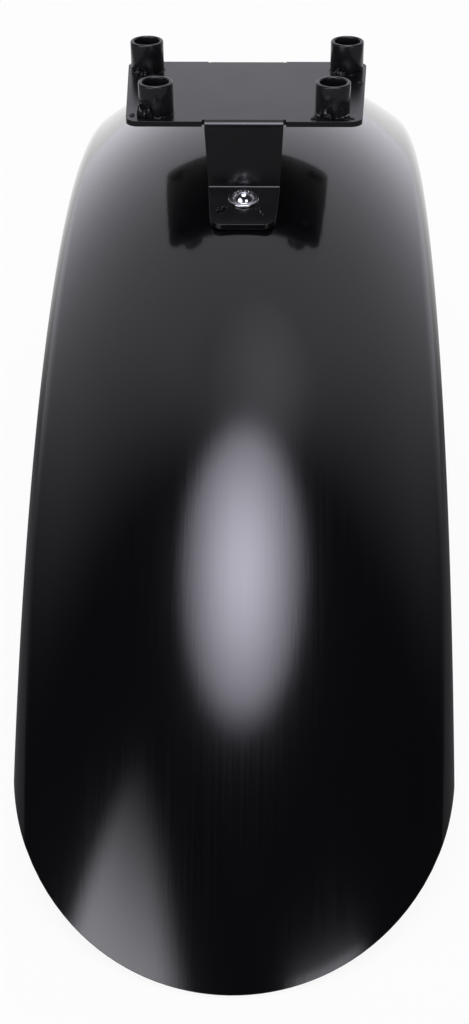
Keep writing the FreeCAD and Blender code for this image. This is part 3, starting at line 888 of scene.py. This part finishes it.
def cross_cutter():
    """A tapered cross that opens upwards, from the floor of the recess to above the dome."""
    shape = bmesh.new()
    layers = []
    for half, arm, height in (CROSS_FLOOR, CROSS_MOUTH):
        corners = []
        for quarter_turn in range(4):
            way = Matrix.Rotation(math.pi / 2 * quarter_turn, 2)
            for spot in ((half, -arm), (half, arm), (arm, arm)):
                flat_spot = way @ Vector(spot)
                corners.append(shape.verts.new((flat_spot.x * MM, flat_spot.y * MM, height * MM)))
        layers.append(corners)
    bottom, top = layers
    for index in range(len(bottom)):
        after = (index + 1) % len(bottom)
        shape.faces.new((bottom[index], bottom[after], top[after], top[index]))
    shape.faces.new(bottom)
    shape.faces.new(top)
    bmesh.ops.recalc_face_normals(shape, faces=shape.faces)
    mesh = bpy.data.meshes.new("cross")
    shape.to_mesh(mesh)
    shape.free()
    return bpy.data.objects.new("cross", mesh)


for end in SCREW_AT:
    stand = screw_frame(end)
    lowest = reach_along(end + "_screw", stand)[0] / MM
    turned = spun_mesh(end + "_bolt", screw_outline(lowest), ROUND_STEPS, closed=False)
    screw = add_piece(end + "_bolt", turned, chrome, end + "_screw")
    finished = cut_away(screw, cross_cutter())
    finished.shade_smooth()
    finished.set_sharp_from_angle(angle=SHARP_EDGE)
    screw.matrix_world = stand
    print(screw.name, "has", len(finished.polygons), "faces")

# %% [markdown]
# ## The washers and nuts
# Under the blade each screw ends in a plain washer and a hexagon nut. The washer's edges are
# rounded by the punch. The nut is a hexagon whose corners are turned off to a cone at both
# ends: at every angle the outline is the smaller of the hexagon and the cone.

# %% The washer's section
WASHER_ROUND = 0.0003
WASHER_BORE = 0.0032


def washer_profile(rim, thick):
    """The washer's section, with its four corners rounded."""
    near, far = WASHER_BORE + WASHER_ROUND, rim - WASHER_ROUND
    low, high = WASHER_ROUND, thick - WASHER_ROUND
    profile = quarter((near, low), WASHER_ROUND, 180) + quarter((far, low), WASHER_ROUND, 270)
    return profile + quarter((far, high), WASHER_ROUND, 0) + quarter((near, high), WASHER_ROUND, 90)


# %% The nut's outline
NUT_HALF = 0.005
NUT_BORE = 0.00305
NUT_MOUTH = 0.0003
CONE_START = 0.985
CONE_SLOPE = math.tan(math.radians(60))
CONE_ROWS = [0.00004 + 0.0001 * row for row in range(6)]


def nut_outline(tall):
    """A function of the angle that gives a nut with its corners turned off."""
    levels = [0.0] + CONE_ROWS + [tall - level for level in reversed(CONE_ROWS)] + [tall]
    mouth = NUT_BORE + NUT_MOUTH

    def section(angle):
        hexagon = NUT_HALF / math.cos(angle % (math.pi / 3) - math.pi / 6)
        points = [(NUT_BORE, NUT_MOUTH), (mouth, 0.0)]
        for level in levels:
            cone = NUT_HALF * CONE_START + CONE_SLOPE * min(level, tall - level)
            points.append((min(hexagon, cone), level))
        return points + [(mouth, tall), (NUT_BORE, tall - NUT_MOUTH)]
    return section


# %% Make the washers and nuts
NUT_STEPS = 96
NUT_EDGE = math.radians(25)
for end in SCREW_AT:
    stand = screw_frame(end)
    lowest, highest = reach_along(end + "_washer", stand)
    low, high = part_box(end + "_washer")
    profile = washer_profile((high.x - low.x) / 2, highest - lowest)
    ring = spun_mesh(end + "_ring", lambda angle: profile, ROUND_STEPS, closed=True)
    washer = add_piece(end + "_ring", ring, zinc, end + "_washer")
    washer.matrix_world = stand @ Matrix.Translation((0, 0, lowest))

    lowest, highest = reach_along(end + "_nut", stand)
    hexagon = spun_mesh(end + "_hexagon", nut_outline(highest - lowest), NUT_STEPS, closed=True)
    hexagon.set_sharp_from_angle(angle=NUT_EDGE)
    nut = add_piece(end + "_hexagon", hexagon, zinc, end + "_nut")
    nut.matrix_world = stand @ Matrix.Translation((0, 0, lowest))
print("washers and nuts at both feet")

# %% [markdown]
# ## Spatter
# The torch threw a few droplets that froze on the sheet and were painted over: small craters on
# the plate beside the tubes, and four smeared ones on the front foot. Each is a low ring with a
# dimple, spun with an uneven radius.

# %% The shape of a droplet
# radius and height from the outer edge to the middle of the dimple, for a drop of size 1
DIMPLE = [(1.25, 0.0), (1.18, 0.22), (1.0, 0.45), (0.78, 0.55), (0.55, 0.45), (0.35, 0.25),
          (0.1, 0.18)]
LUMPS = 1.3
UNEVEN_WIDTH = 0.45
UNEVEN_HEIGHT = 0.5
MIDDLE_SIZE = 1.05
SIZE_SPREAD = 0.2
SIZE_SWING = 2.1


def drop_outline(size, seed):
    """A function of the angle that gives an uneven drop with a dimple in its middle."""
    def section(angle):
        uneven = noise.noise(Vector((math.cos(angle) * LUMPS, math.sin(angle) * LUMPS, seed)))
        grown = size * (1 + UNEVEN_WIDTH * uneven) * MM
        raised = size * (1 + UNEVEN_HEIGHT * uneven) * MM
        return [(radius * grown, height * raised) for radius, height in DIMPLE]
    return section


def drop_size(number):
    """A size in mm that differs a little from drop to drop."""
    return MIDDLE_SIZE + SIZE_SPREAD * math.sin(number * SIZE_SWING)


# %% Drop the spatter
PLATE_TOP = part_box("front_left_tube")[0].z
ON_PLATE = [(-0.0512, -0.0046), (0.0318, -0.0080), (0.0492, -0.0080), (0.0545, 0.0390)]
# across and along the foot from the screw, and degrees of twist
ON_FOOT = [(-0.0102, -0.0086, 35), (-0.0080, -0.0066, -40), (0.0066, -0.0082, 50),
           (0.0082, -0.0118, -65)]
SMEAR = Matrix.Diagonal((1.6, 0.7, 1.7, 1))
DROP_STEPS = 40
DROP_SEED_STEP = 3.7

foot = screw_frame("front")
spots = [Matrix.Translation((x, y, PLATE_TOP)) for x, y in ON_PLATE]
for x, y, twist in ON_FOOT:
    smeared = Matrix.Rotation(math.radians(twist), 4, "Z") @ SMEAR
    spots.append(foot @ Matrix.Translation((x, y, 0)) @ smeared)
for number, spot in enumerate(spots):
    name = f"spatter_{number}"
    outline = drop_outline(drop_size(number), number * DROP_SEED_STEP)
    drop_mesh = spun_mesh(name, outline, DROP_STEPS, closed=False)
    drop = add_piece(name, drop_mesh, weld_black)
    drop.matrix_world = spot
print(len(spots), "droplets")

# %% [markdown]
# ## Update the scene

# %% Update the scene
bpy.context.view_layer.update()
